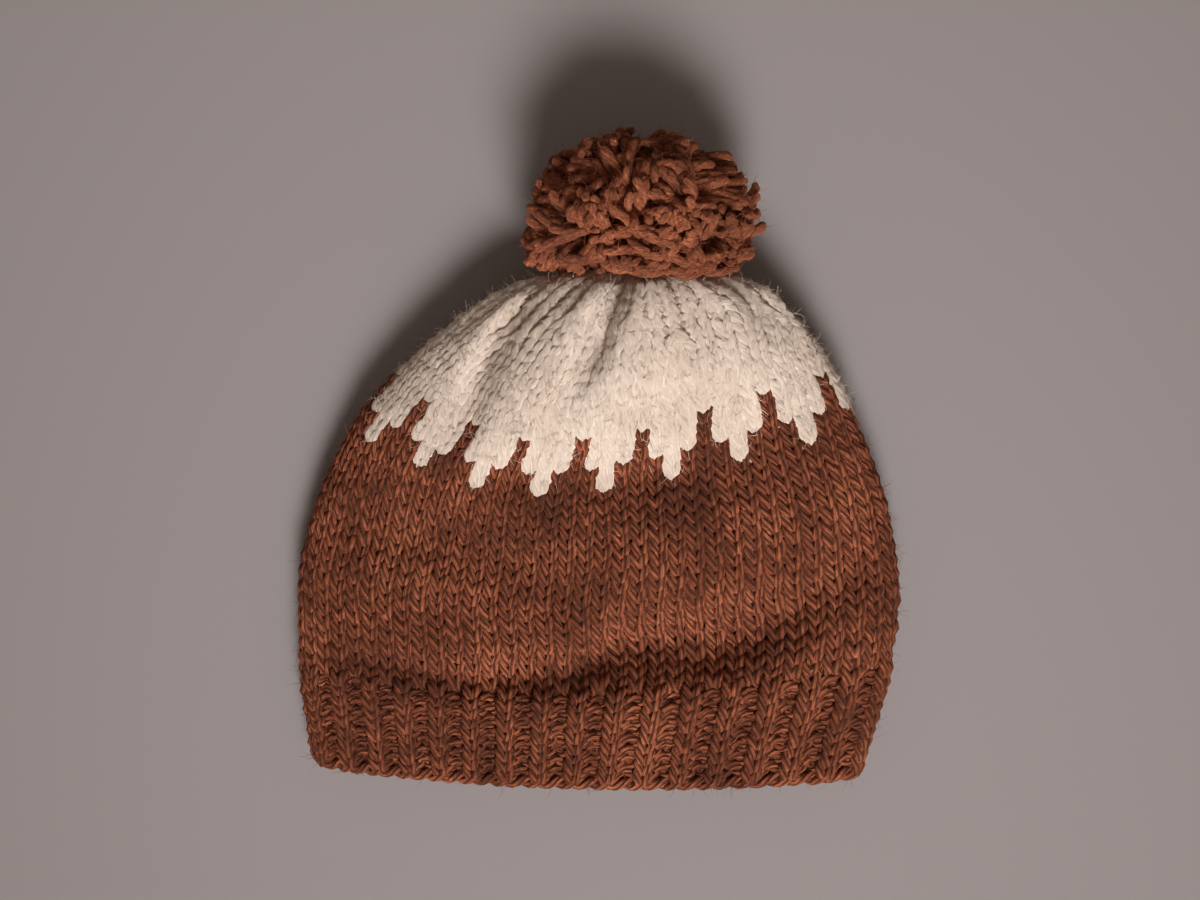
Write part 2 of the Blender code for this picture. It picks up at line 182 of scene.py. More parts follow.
def fabric_point(turn, share):
    """Outer face of the knitting: the solid walls' surface, with a few folds set anew."""
    r = round_at(share)
    s = -np.cos(math.pi * turn)
    half = np.maximum((r.right - r.left) / 2 * FLAT_WIDTH, 1e-6)
    centre = (r.right + r.left) / 2 * FLAT_WIDTH
    fold = r.fold * CROWN_THICKNESS
    rise = np.maximum((r.front - r.fold) * CROWN_THICKNESS, 1e-6)
    drop = np.maximum((r.fold - r.back) * CROWN_THICKNESS, 1e-6)
    on_front = turn % 2 < 1
    height = np.where(on_front, rise, drop)
    power = np.maximum(2.0, 2 * SIDE_RADIUS * half / height**2)
    bulge = np.sqrt(np.maximum(0.0, 1 - np.abs(s) ** power))
    dome = np.where(on_front, 1 - DOME * s**2, 1.0)
    gathered = np.clip((share - GATHER_START) / (1 - GATHER_START), 0.0, 1.0)
    pleat = 1 + GATHER_SHARE * gathered * np.cos(math.pi * GATHERS * turn)
    across = (centre + half * s) / FLAT_WIDTH
    side_up = r.left_up + (r.right_up - r.left_up) * (s + 1) / 2
    up = side_up + (r.middle_up - (r.left_up + r.right_up) / 2 + r.skew * s) * (1 - s**2)
    z = height * bulge * dome * pleat
    dent = sum(
        fold_depth(across, up, way, stations) for (_, way), stations in FOLDS.items()
    )
    z_front = fold + z - dent * bulge**2
    z_back = np.maximum(0.0, fold - z * (1 + REST_SINK / drop))
    x = centre + half * s * pleat
    y = up * HAT_LENGTH - ORIGIN_FROM_BRIM
    return np.stack([x, y, np.where(on_front, z_front, z_back)], axis=-1)


# Stitches that the crown's decreases take out, and the row where each one ends.
DECREASES = ((34.5, 8, 3), (37.0, 8, 7), (39.5, 8, 5), (42.5, 8, 1))
FADE_ROWS = 3.0        # rounds over which such a stitch narrows away
SPENT_WIDTH = 0.6      # a stitch narrower than this share has been knitted into the next


def stitch_width(row):
    """Each stitch's share of a round: those being decreased narrow to nothing."""
    width = np.ones(STITCHES)
    for last_row, every, start in DECREASES:
        fade = np.clip((last_row - row) / FADE_ROWS, 0.0, 1.0)
        width[start::every] = np.maximum(fade * fade * (3 - 2 * fade), 1e-3)
    return width


GRID = 6          # samples to a stitch and to a row
LONG_ROW = 26     # the round in which the longest drips begin
EDGE_ROWS = 0.8   # how far the first loops' feet are from the edge, in rounds
TURNED_MIDDLE = -0.42   # how far the wales at the middle lie round to the right, in stitches
TURNED_SIDES = 0.85     # the same at the sides
YARN_UNDER_FACE = 0.55  # where the middle of the loops lies in the wall, from its face
grid_rows = np.arange(-3, ROWS * GRID + 1) / GRID
grid_stitches = np.arange(STITCHES * GRID + 1) / GRID


def lay_grid():
    """The middle of the wall and its outward direction, at each part of each stitch."""
    fine = np.linspace(0.0, 1.0, 241)
    half_round = STITCHES / 2
    points = np.empty((len(grid_rows), len(grid_stitches), 3))
    for k, row in enumerate(grid_rows):
        share = max(row + EDGE_ROWS * max(1 - row / LONG_ROW, 0.0), 0.0) / ROWS
        ends = np.concatenate([[0.0], np.cumsum(stitch_width(row))])
        place = np.interp(grid_stitches, np.arange(STITCHES + 1), ends / ends[-1] * STITCHES)
        from_middle = np.minimum(np.abs(place / (STITCHES / 4) - 1), 1.0)
        turned = TURNED_MIDDLE + (TURNED_SIDES - TURNED_MIDDLE) * from_middle**2
        place = np.mod(place + turned, STITCHES)
        turn = np.empty(len(place))
        for side in (0, 1):
            section = fabric_point(fine + side * (1 - 1e-9), np.full(fine.shape, share))
            steps = np.linalg.norm(np.diff(section, axis=0), axis=1)
            lengths = np.concatenate([[0.0], np.cumsum(steps)]) / steps.sum()
            here = (place >= half_round) == bool(side)
            turn[here] = side + np.interp(place[here] / half_round - side, lengths, fine)
        turn = np.minimum(turn, 2.0 - 1e-9)
        points[k] = fabric_point(turn, np.full(turn.shape, share))
    along = np.gradient(points, axis=0)
    wrapped = np.concatenate([points[:, -2:-1], points, points[:, 1:2]], axis=1)
    around = wrapped[:, 2:] - wrapped[:, :-2]
    out = np.cross(around, along)
    out /= np.maximum(np.linalg.norm(out, axis=-1, keepdims=True), 1e-12)
    return points - out * WALL * YARN_UNDER_FACE, out


grid_point, grid_out = lay_grid()


def lie(stitch, row):
    """Bilinear reading of the grid: points and outward directions."""
    stitch = np.mod(stitch, STITCHES)
    row = np.clip(row, grid_rows[0], grid_rows[-1])
    i = np.clip((stitch * GRID).astype(int), 0, len(grid_stitches) - 2)
    k = np.clip(((row - grid_rows[0]) * GRID).astype(int), 0, len(grid_rows) - 2)
    a = (stitch * GRID - i)[:, None]
    b = ((row - grid_rows[0]) * GRID - k)[:, None]
    both = []
    for grid in (grid_point, grid_out):
        low = grid[k, i] * (1 - a) + grid[k, i + 1] * a
        high = grid[k + 1, i] * (1 - a) + grid[k + 1, i + 1] * a
        both.append(low * (1 - b) + high * b)
    return both


YARN_RADIUS = 0.00128
LOOP_SAMPLES = 12
LOOP_LEAN = 0.23       # stitches that a leg leans sideways
LOOP_HEIGHT = 1.80     # rows from the foot of a loop to its head
LOOP_DEPTH = 0.00110   # how far a leg stands in front of the wall's middle
YARN_GIVES = (1.00, 1.40)   # least and most thickness, where gathered and where stretched
UNEVEN_ASIDE = 0.045   # how unlike hand-knitted loops are: in stitches, in rows,
UNEVEN_UP = 0.11       # and in their own depth and thickness
UNEVEN_DEPTH = 0.25
UNEVEN_THICK = 0.08
noise = np.random.default_rng(31)
unevenness = noise.normal(0.0, 1.0, (ROWS + 1, STITCHES, 3))


def loop_path(stitches, row, knit, closed, raised=None, lean=LOOP_LEAN, depth=LOOP_DEPTH):
    """One run of loops along a round. knit: +1 for a knit stitch, -1 for a purl.
    Returns the yarn's middle line and, for each point of it, how far out it lies
    (-1 to 1), how thick the yarn is and which way the fabric faces."""
    count = len(stitches)
    t = np.arange(count * LOOP_SAMPLES + (0 if closed else 1)) * 2 * math.pi / LOOP_SAMPLES
    which = np.minimum((t / (2 * math.pi)).astype(int), count - 1)
    phase = t - which * 2 * math.pi
    own = knit[which]
    before = knit[which - 1] if closed else knit[np.maximum(which - 1, 0)]
    after = knit[(which + 1) % count] if closed else knit[np.minimum(which + 1, count - 1)]
    near_edge = np.clip(np.minimum(phase, 2 * math.pi - phase) / (math.pi / 3), 0.0, 1.0)
    shared = (own + np.where(phase < math.pi, before, after)) / 2
    side = shared + (own - shared) * near_edge * near_edge * (3 - 2 * near_edge)
    # Where stitches have been decreased away, their neighbours meet in the middle.
    meets = (stitches[1:] + stitches[:-1] + 1) / 2
    first, last = stitches[0], stitches[-1] + 1
    if closed:
        first = (first + last - STITCHES) / 2
        last = first + STITCHES
        edges = np.concatenate([[meets[-1] - STITCHES, first], meets, [last, meets[0] + STITCHES]])
    else:
        edges = np.concatenate([[first - 1, first], meets, [last, last + 1]])
    wobble = unevenness[int(row) % ROWS, stitches[which] % STITCHES]
    inside = np.sin(phase / 2) ** 2
    place = t / (2 * math.pi) + lean * np.sin(2 * t) + UNEVEN_ASIDE * wobble[:, 0] * inside
    stitch = np.interp(place, np.arange(-1, count + 2), edges)
    at_row = row + 0.5 - LOOP_HEIGHT / 2 * np.cos(t) + UNEVEN_UP * wobble[:, 1] * inside
    out = -np.cos(2 * t) * side
    point, outward = lie(stitch, at_row)
    lift = out * depth * (1 + UNEVEN_DEPTH * wobble[:, 2] * inside)
    if raised is not None:
        lift = lift + raised(stitch)
    path = point + outward * lift[:, None]
    bounds = edges[1:-1]
    left, right = (lie(ends, np.full(count, row + 0.5))[0] for ends in (bounds[:-1], bounds[1:]))
    width = np.linalg.norm(right - left, axis=1) * STITCHES / (2 * FLAT_WIDTH)
    packed = np.clip(width, *YARN_GIVES)[which]
    if not closed:
        # The two ends of a short run turn in behind the fabric.
        path[0] -= outward[0] * depth
        path[-1] -= outward[-1] * depth
    return path, out, packed * (1 + UNEVEN_THICK * wobble[:, 2]), outward


def path_mesh(name, runs, radius):
    """Joins runs of (points, outness, swell, outward, closed) into one mesh of edges."""
    points, edges, outness, swell, outward = [], [], [], [], []
    start = 0
    for run, out, thick, away, closed in runs:
        index = np.arange(len(run)) + start
        start += len(run)
        ends = np.roll(index, -1) if closed else index[1:]
        edges.append(np.stack([index[: len(ends)], ends], axis=1))
        thick = np.broadcast_to(thick, len(run))
        run = run.copy()
        run[:, 2] = np.maximum(run[:, 2], radius * thick)
        points.append(run)
        outness.append(np.broadcast_to(out, len(run)))
        swell.append(thick)
        outward.append(away)
    mesh = bpy.data.meshes.new(name)
    mesh.from_pydata(np.concatenate(points).tolist(), np.concatenate(edges).tolist(), [])
    for key, values in (("outness", outness), ("swell", swell)):
        attribute = mesh.attributes.new(key, "FLOAT", "POINT")
        attribute.data.foreach_set("value", np.concatenate(values).astype(np.float32))
    attribute = mesh.attributes.new("fabric_out", "FLOAT_VECTOR", "POINT")
    attribute.data.foreach_set("vector", np.concatenate(outward).astype(np.float32).ravel())
    return mesh


def add_node(tree, kind, inputs=None, **settings):
    """Adds one node with its settings, values and links, and returns it."""
    node = tree.nodes.new(kind)
    for name, value in settings.items():
        setattr(node, name, value)
    for socket, value in (inputs or {}).items():
        if isinstance(value, bpy.types.NodeSocket):
            tree.links.new(value, node.inputs[socket])
        else:
            node.inputs[socket].default_value = value
    return node


def new_tree(name, sockets):
    """A geometry tree with Geometry in and out and the named inputs."""
    tree = bpy.data.node_groups.new(name, "GeometryNodeTree")
    tree.interface.new_socket("Geometry", in_out="INPUT", socket_type="NodeSocketGeometry")
    for socket_name, socket_type in sockets.items():
        tree.interface.new_socket(socket_name, in_out="INPUT", socket_type=socket_type)
    tree.interface.new_socket("Geometry", in_out="OUTPUT", socket_type="NodeSocketGeometry")
    entry = add_node(tree, "NodeGroupInput")
    return tree, entry


def close_tree(tree, geometry, wool):
    """Ends a tree: real geometry in one material."""
    real = add_node(tree, "GeometryNodeRealizeInstances", {"Geometry": geometry})
    painted = add_node(
        tree, "GeometryNodeSetMaterial", {"Geometry": real.outputs[0], "Material": wool}
    )
    add_node(tree, "NodeGroupOutput", {"Geometry": painted.outputs[0]})


def grow(name, mesh, tree, values):
    """Runs a tree on a mesh and returns the result as a plain mesh object."""
    guide = bpy.data.objects.new(name + "_guide", mesh)
    bpy.context.scene.collection.objects.link(guide)
    modifier = guide.modifiers.new("grow", "NODES")
    modifier.node_group = tree
    for item in tree.interface.items_tree:
        if item.in_out == "INPUT" and item.name in values:
            modifier[item.identifier] = values[item.name]
    bpy.context.view_layer.update()
    graph = bpy.context.evaluated_depsgraph_get()
    grown = bpy.data.meshes.new_from_object(guide.evaluated_get(graph))
    guide.modifiers.remove(modifier)
    bpy.data.objects.remove(guide)
    grown.name = name
    piece = bpy.data.objects.new(name, grown)
    bpy.context.scene.collection.objects.link(piece)
    return piece


def yarn_tree():
    """Sweeps a round yarn along edge paths, and marks where each point lies on it."""
    tree, entry = new_tree(
        "yarn", {"Radius": "NodeSocketFloat", "Sides": "NodeSocketInt", "Wool": "NodeSocketMaterial"}
    )
    curve = add_node(tree, "GeometryNodeMeshToCurve", {"Mesh": entry.outputs["Geometry"]})
    swell = add_node(tree, "GeometryNodeInputNamedAttribute", {"Name": "swell"}, data_type="FLOAT")
    length = add_node(tree, "GeometryNodeSplineParameter")
    marked = add_node(
        tree,
        "GeometryNodeStoreNamedAttribute",
        {"Geometry": curve.outputs[0], "Name": "yarn_along", "Value": length.outputs["Length"]},
        data_type="FLOAT",
        domain="POINT",
    )
    ring = add_node(
        tree,
        "GeometryNodeCurvePrimitiveCircle",
        {"Resolution": entry.outputs["Sides"], "Radius": entry.outputs["Radius"]},
    )
    place = add_node(tree, "GeometryNodeInputPosition")
    unit = add_node(tree, "ShaderNodeVectorMath", {0: place.outputs[0]}, operation="NORMALIZE")
    ring_marked = add_node(
        tree,
        "GeometryNodeStoreNamedAttribute",
        {"Geometry": ring.outputs[0], "Name": "yarn_around", "Value": unit.outputs[0]},
        data_type="FLOAT_VECTOR",
        domain="POINT",
    )
    swept = add_node(
        tree,
        "GeometryNodeCurveToMesh",
        {
            "Curve": marked.outputs[0],
            "Profile Curve": ring_marked.outputs[0],
            "Scale": swell.outputs["Attribute"],
            "Fill Caps": True,
        },
    )
    smooth = add_node(tree, "GeometryNodeSetShadeSmooth", {0: swept.outputs[0]})
    close_tree(tree, smooth.outputs[0], entry.outputs["Wool"])
    return tree


def linear(hex_colour):
    """An sRGB hex colour as the linear RGBA that shaders take."""
    parts = [int(hex_colour[i : i + 2], 16) / 255 for i in (1, 3, 5)]
    return [c / 12.92 if c <= 0.04045 else ((c + 0.055) / 1.055) ** 2.4 for c in parts] + [1.0]


PLIES = 4
TWIST_PITCH = 0.016    # one turn of the plies, so they slant gently along each leg
PLY_STRETCH = 0.12     # a fibre's streak is this much shorter along the noise than across
HEATHER_PATCH = 0.022  # how long a darker or lighter stretch of the fleece is
FLECK = 0.0035         # the same for the flecks in it
STREAK = 0.0004        # spacing of the streaks that the fibres make
RELIEF = 0.0009        # depth of the grooves between the plies


def plied_wool(
    name,
    dark,
    middle,
    light,
    ply_groove_shade,
    sheen,
    plies_show=0.75,
    fibres_show=0.6,
    halo=0.2,
    stretch=PLY_STRETCH,
    painted_side_light=0.0,
):
    """Worsted-spun sheep's wool: matt, with a soft bloom of fibre at grazing angles,
    plies that slant round the yarn, and a fleece that drifts from dark to light.
    Painted shade darkens the grooves between the plies, and painted light can lighten the strands'
    sides."""
    wool = bpy.data.materials.new(name)
    wool.use_nodes = True
    tree = wool.node_tree
    shader = tree.nodes["Principled BSDF"]
    shader.inputs["Roughness"].default_value = 0.90
    shader.inputs["Specular IOR Level"].default_value = 0.20
    shader.inputs["Sheen Weight"].default_value = sheen
    shader.inputs["Sheen Roughness"].default_value = 0.50
    shader.inputs["Sheen Tint"].default_value = linear(light)
    around = add_node(tree, "ShaderNodeAttribute", attribute_name="yarn_around")
    along = add_node(tree, "ShaderNodeAttribute", attribute_name="yarn_along")
    split = add_node(tree, "ShaderNodeSeparateXYZ", {0: around.outputs["Vector"]})
    angle = add_node(
        tree, "ShaderNodeMath", {0: split.outputs[1], 1: split.outputs[0]}, operation="ARCTAN2"
    )
    twisted = add_node(
        tree,
        "ShaderNodeMath",
        {0: along.outputs["Fac"], 1: 2 * math.pi / TWIST_PITCH, 2: angle.outputs[0]},
        operation="MULTIPLY_ADD",
    )
    plies = add_node(tree, "ShaderNodeMath", {0: twisted.outputs[0], 1: PLIES}, operation="MULTIPLY")
    wave = add_node(tree, "ShaderNodeMath", {0: plies.outputs[0]}, operation="SINE")
    ridge = add_node(
        tree,
        "ShaderNodeMapRange",
        {"Value": wave.outputs[0], "From Min": -1.0, "From Max": 0.4},
        interpolation_type="SMOOTHSTEP",
    )
    cosine = add_node(tree, "ShaderNodeMath", {0: twisted.outputs[0]}, operation="COSINE")
    sine = add_node(tree, "ShaderNodeMath", {0: twisted.outputs[0]}, operation="SINE")
    across_x = add_node(
        tree, "ShaderNodeMath", {0: cosine.outputs[0], 1: YARN_RADIUS}, operation="MULTIPLY"
    )
    across_y = add_node(
        tree, "ShaderNodeMath", {0: sine.outputs[0], 1: YARN_RADIUS}, operation="MULTIPLY"
    )
    lengthwise = add_node(
        tree, "ShaderNodeMath", {0: along.outputs["Fac"], 1: stretch}, operation="MULTIPLY"
    )
    in_yarn = add_node(
        tree,
        "ShaderNodeCombineXYZ",
        {0: across_x.outputs[0], 1: across_y.outputs[0], 2: lengthwise.outputs[0]},
    )
    # Single fibres are 0.03 mm; drawn ten times coarser they still read as fibre.
    fibres = add_node(
        tree,
        "ShaderNodeTexNoise",
        {"Vector": in_yarn.outputs[0], "Scale": 1 / STREAK, "Detail": 2.0, "Roughness": 0.7},
    )
    place = add_node(tree, "ShaderNodeTexCoord")
    patches = add_node(
        tree,
        "ShaderNodeTexNoise",
        {"Vector": place.outputs["Object"], "Scale": 1 / HEATHER_PATCH, "Detail": 1.0},
    )
    flecks = add_node(
        tree,
        "ShaderNodeTexNoise",
        {"Vector": place.outputs["Object"], "Scale": 1 / FLECK, "Detail": 2.0, "Roughness": 0.6},
    )
    heather = add_node(
        tree, "ShaderNodeMath", {0: patches.outputs[0], 1: flecks.outputs[0]}, operation="ADD"
    )
    shades = add_node(tree, "ShaderNodeValToRGB")
    halved = add_node(tree, "ShaderNodeMath", {0: heather.outputs[0], 1: 0.5}, operation="MULTIPLY")
    tree.links.new(halved.outputs[0], shades.inputs["Fac"])
    ramp = shades.color_ramp
    ramp.elements[0].position = 0.38
    ramp.elements[0].color = linear(dark)
    ramp.elements[1].position = 0.62
    ramp.elements[1].color = linear(light)
    ramp.elements.new(0.5).color = linear(middle)
    streak = add_node(
        tree,
        "ShaderNodeMapRange",
        {
            "Value": fibres.outputs[0],
            "From Min": 0.3,
            "From Max": 0.7,
            "To Min": 1 - fibres_show,
            "To Max": 1 + fibres_show,
        },
    )
    streaked = add_node(
        tree,
        "ShaderNodeVectorMath",
        {0: shades.outputs[0], "Scale": streak.outputs[0]},
        operation="SCALE",
    )
    # Painted shade: in the troughs between the plies the colour is mixed toward the darker groove
    # colour, which stands for the shade there.
    groove_shade_mix = add_node(
        tree,
        "ShaderNodeMapRange",
        {"Value": ridge.outputs[0], "To Min": 1 - plies_show, "To Max": 1.0},
    )
    groove_shaded = add_node(
        tree,
        "ShaderNodeMix",
        {"Factor": groove_shade_mix.outputs[0], "A": linear(ply_groove_shade), "B": streaked.outputs[0]},
        data_type="RGBA",
    )
    relief = add_node(
        tree,
        "ShaderNodeMath",
        {0: ridge.outputs[0], 1: plies_show, 2: fibres.outputs[0]},
        operation="MULTIPLY_ADD",
    )
    # The halo of loose fibre lights a strand's sides much as it lights the fabric's face.
    fabric_out = add_node(tree, "ShaderNodeAttribute", attribute_name="fabric_out")
    own_normal = add_node(tree, "ShaderNodeNewGeometry")
    # Painted light: the base colour is made lighter where a strand's side turns away from the fabric's
    # face, which lifts the shade on the strands' sides and in the hollows between them.
    facing = add_node(
        tree,
        "ShaderNodeVectorMath",
        {0: own_normal.outputs["Normal"], 1: fabric_out.outputs["Vector"]},
        operation="DOT_PRODUCT",
    )
    side_light_paint = add_node(
        tree,
        "ShaderNodeMapRange",
        {
            "Value": facing.outputs["Value"],
            "From Min": 0.1,
            "From Max": 0.85,
            "To Min": 1 + painted_side_light,
            "To Max": 1.0,
        },
    )
    scattered = add_node(
        tree,
        "ShaderNodeVectorMath",
        {0: groove_shaded.outputs["Result"], "Scale": side_light_paint.outputs[0]},
        operation="SCALE",
    )
    tree.links.new(scattered.outputs[0], shader.inputs["Base Color"])
    softened = add_node(
        tree,
        "ShaderNodeMix",
        {"Factor": halo, "A": own_normal.outputs["Normal"], "B": fabric_out.outputs["Vector"]},
        data_type="VECTOR",
    )
    normal = add_node(
        tree, "ShaderNodeVectorMath", {0: softened.outputs["Result"]}, operation="NORMALIZE"
    )
    bump = add_node(
        tree,
        "ShaderNodeBump",
        {
            "Strength": 0.8,
            "Distance": RELIEF * fibres_show,
            "Height": relief.outputs[0],
            "Normal": normal.outputs[0],
        },
    )
    tree.links.new(bump.outputs[0], shader.inputs["Normal"])
    return wool


FUZZY_OUTNESS = 0.15   # fibres show on the outer side of the loops only,
FUZZY_HEIGHT = 0.006   # and only this far above the table


def fuzz_tree():
    """Loose fibres that stand off the face of the yarn, each a thin tapering arc."""
    tree, entry = new_tree(
        "fuzz",
        {
            "Fibres": "NodeSocketFloat",
            "Length": "NodeSocketFloat",
            "Thickness": "NodeSocketFloat",
            "Seed": "NodeSocketInt",
            "Wool": "NodeSocketMaterial",
        },
    )
    outness = add_node(tree, "GeometryNodeInputNamedAttribute", {"Name": "outness"}, data_type="FLOAT")
    facing = add_node(
        tree,
        "FunctionNodeCompare",
        {0: outness.outputs["Attribute"], 1: FUZZY_OUTNESS},
        operation="GREATER_THAN",
    )
    place = add_node(tree, "GeometryNodeInputPosition")
    height = add_node(tree, "ShaderNodeSeparateXYZ", {0: place.outputs[0]})
    clear = add_node(
        tree,
        "FunctionNodeCompare",
        {0: height.outputs[2], 1: FUZZY_HEIGHT},
        operation="GREATER_THAN",
    )
    chosen = add_node(
        tree, "FunctionNodeBooleanMath", {0: facing.outputs[0], 1: clear.outputs[0]}, operation="AND"
    )
    scattered = add_node(
        tree,
        "GeometryNodeDistributePointsOnFaces",
        {
            "Mesh": entry.outputs["Geometry"],
            "Selection": chosen.outputs[0],
            "Density": entry.outputs["Fibres"],
            "Seed": entry.outputs["Seed"],
        },
        distribute_method="RANDOM",
    )
    arc = add_node(
        tree,
        "GeometryNodeCurveQuadraticBezier",
        {"Resolution": 2, "Start": (0, 0, 0), "Middle": (0.1, 0, 0.55), "End": (0.5, 0, 0.9)},
    )
    taper = add_node(tree, "GeometryNodeSplineParameter")
    chance = add_node(
        tree,
        "FunctionNodeRandomValue",
        {0: (0.0, 0.15, 0.5), 1: (2 * math.pi, 1.05, 1.2), "Seed": entry.outputs["Seed"]},
        data_type="FLOAT_VECTOR",
    )
    parts = add_node(tree, "ShaderNodeSeparateXYZ", {0: chance.outputs[0]})
    spin = add_node(tree, "ShaderNodeCombineXYZ", {2: parts.outputs[0]})
    tilt = add_node(tree, "ShaderNodeCombineXYZ", {1: parts.outputs[1]})
    spun = add_node(
        tree,
        "FunctionNodeRotateRotation",
        {0: scattered.outputs["Rotation"], 1: spin.outputs[0]},
        rotation_space="LOCAL",
    )
    tilted = add_node(
        tree,
        "FunctionNodeRotateRotation",
        {0: spun.outputs[0], 1: tilt.outputs[0]},
        rotation_space="LOCAL",
    )
    length = add_node(
        tree, "ShaderNodeMath", {0: parts.outputs[2], 1: entry.outputs["Length"]}, operation="MULTIPLY"
    )
    planted = add_node(
        tree,
        "GeometryNodeInstanceOnPoints",
        {
            "Points": scattered.outputs["Points"],
            "Instance": arc.outputs[0],
            "Rotation": tilted.outputs[0],
            "Scale": length.outputs[0],
        },
    )
    curves = add_node(tree, "GeometryNodeRealizeInstances", {"Geometry": planted.outputs[0]})
    ring = add_node(
        tree, "GeometryNodeCurvePrimitiveCircle", {"Resolution": 3, "Radius": entry.outputs["Thickness"]}
    )
    thinner = add_node(
        tree,
        "ShaderNodeMapRange",
        {"Value": taper.outputs["Factor"], "To Min": 1.0, "To Max": 0.3},
    )
    swept = add_node(
        tree,
        "GeometryNodeCurveToMesh",
        {
            "Curve": curves.outputs[0],
            "Profile Curve": ring.outputs[0],
            "Scale": thinner.outputs[0],
            "Fill Caps": True,
        },
    )
    close_tree(tree, swept.outputs[0], entry.outputs["Wool"])
    return tree


YARN = yarn_tree()
FUZZ = fuzz_tree()
# The darkest colour here is painted shade for the grooves between the plies, mixed in strongly.
RUST_WOOL = plied_wool(
    "heathered_rust_wool",
    dark="#5c301f",
    middle="#7c422b",
    light="#99573b",
    ply_groove_shade="#3f2014",
    sheen=0.4,
    plies_show=0.9,
    fibres_show=0.65,
)


def rib_wave(stitch):
    """How far the rib's knit wales stand out, and its purl wales lie back."""
    return RIB_DEPTH / 2 * np.cos(math.pi * (stitch - 0.5))


all_round = np.arange(STITCHES)
rib_knit = np.where(all_round % 2 == 0, 1.0, -1.0)
rib_runs = []
for row in range(RIB_ROWS):
    rib_runs.append((*loop_path(all_round, row, rib_knit, True, rib_wave), True))

# The cast-on is two strands twisted round each other, with one bump to a stitch.
CAST_ON_ROW = -0.05    # its middle, and how far its strands swing, in rows
CAST_ON_SWING = 0.32
CAST_ON_DEPTH = 0.0011
for strand in (0.0, math.pi):
    turn = np.arange(STITCHES * LOOP_SAMPLES // 2) * 2 * math.pi / LOOP_SAMPLES
    edge_stitch = turn / math.pi
    edge_point, edge_out = lie(
        edge_stitch, CAST_ON_ROW - CAST_ON_SWING * np.cos(turn + strand)
    )
    edge_lift = rib_wave(edge_stitch) / 2 + CAST_ON_DEPTH * np.sin(turn + strand)
    edge_path = edge_point + edge_out * edge_lift[:, None]
    rib_runs.append((edge_path, np.sin(turn + strand), 1.0, edge_out, True))

yarn_values = {"Radius": YARN_RADIUS, "Sides": 6}
brim = grow(
    "ribbed_brim_knit",
    path_mesh("rib_paths", rib_runs, YARN_RADIUS),
    YARN,
    {**yarn_values, "Wool": RUST_WOOL},
)
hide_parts("ribbed_brim")
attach(brim, "root")
# Loose fibres are 0.03 mm thick. All are drawn five to seven times as thick, to show.
fuzz_values = {"Length": 0.0040, "Thickness": 0.00007, "Wool": RUST_WOOL, "Fibres": 60000.0}
brim_fuzz = grow("ribbed_brim_fuzz", brim.data.copy(), FUZZ, {**fuzz_values, "Seed": 5})
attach(brim_fuzz, "root")

# Body. Plain stockinette in the same rust wool, straight on from the rib: seventeen
# rounds, then the rounds shared with the cream, where the rust ends in pointed peaks
# between the drips. The two colours are stranded: each waits behind its neighbour.
FIRST_CREAM_ROW = (28, LONG_ROW, 28, 31)   # for each wale of the four-stitch repeat
plain = np.ones(STITCHES)


def colour_runs(row, cream):
    """Runs of neighbouring stitches of one colour in a round."""
    mine = np.array([(row >= FIRST_CREAM_ROW[i % 4]) == cream for i in range(STITCHES)])
    alive = stitch_width(row) > SPENT_WIDTH
    if mine.all() and alive.all():
        return [(np.arange(STITCHES), True)]
    if mine.all():
        return [(np.flatnonzero(alive), True)]
    runs = []
    for i in np.flatnonzero(mine & ~np.roll(mine, 1)):
        n = 1
        while mine[(i + n) % STITCHES]:
            n += 1
        runs.append((np.arange(i, i + n), False))
    return runs


def knit_rows(first, last, cream, **shape):
    """The runs of one colour, round by round."""
    runs = []
    for row in range(first, last):
        for stitches, closed in colour_runs(row, cream):
            loops = loop_path(stitches, row, plain[: len(stitches)], closed, **shape)
            runs.append((*loops, closed))
    return runs


body = grow(
    "body_knit",
    path_mesh("body_paths", knit_rows(RIB_ROWS, max(FIRST_CREAM_ROW), False), YARN_RADIUS),
    YARN,
    {**yarn_values, "Wool": RUST_WOOL},
)
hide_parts("body")
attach(body, "root")
body_fuzz = grow("body_fuzz", body.data.copy(), FUZZ, {**fuzz_values, "Seed": 8})
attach(body_fuzz, "root")

# Crown. Undyed cream wool of the same weight. It starts as one-stitch drips, closes to
# plain rounds, is decreased, and its last stitches are drawn up on a thread, which
# throws the two deep creases on the front.
CREAM_LEAN = 0.21
CREAM_RADIUS = 0.00158
CREAM_DEPTH = 0.00084
# Undyed wool is pale and even. Its ply grooves get only a faint painted shade, and the sides of its
# strands are painted lighter, which lifts the shade in its hollows.
CREAM_WOOL = plied_wool(
    "undyed_cream_wool",
    dark="#c2b0a1",
    middle="#c9b7a8",
    light="#cfbfb1",
    ply_groove_shade="#bfab9b",
    sheen=0.2,
    plies_show=0.4,
    fibres_show=0.2,
    halo=0.72,
    painted_side_light=0.5,
)
crown = grow(
    "crown_knit",
    path_mesh(
        "crown_paths",
        knit_rows(LONG_ROW, ROWS, True, lean=CREAM_LEAN, depth=CREAM_DEPTH),
        CREAM_RADIUS,
    ),
    YARN,
    {**yarn_values, "Radius": CREAM_RADIUS, "Wool": CREAM_WOOL},
)
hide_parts("crown")
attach(crown, "root")
crown_fuzz = grow(
    "crown_fuzz",
    crown.data.copy(),
    FUZZ,
    {"Wool": CREAM_WOOL, "Length": 0.0040, "Thickness": 0.00009, "Fibres": 125000.0, "Seed": 3},
)
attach(crown_fuzz, "root")

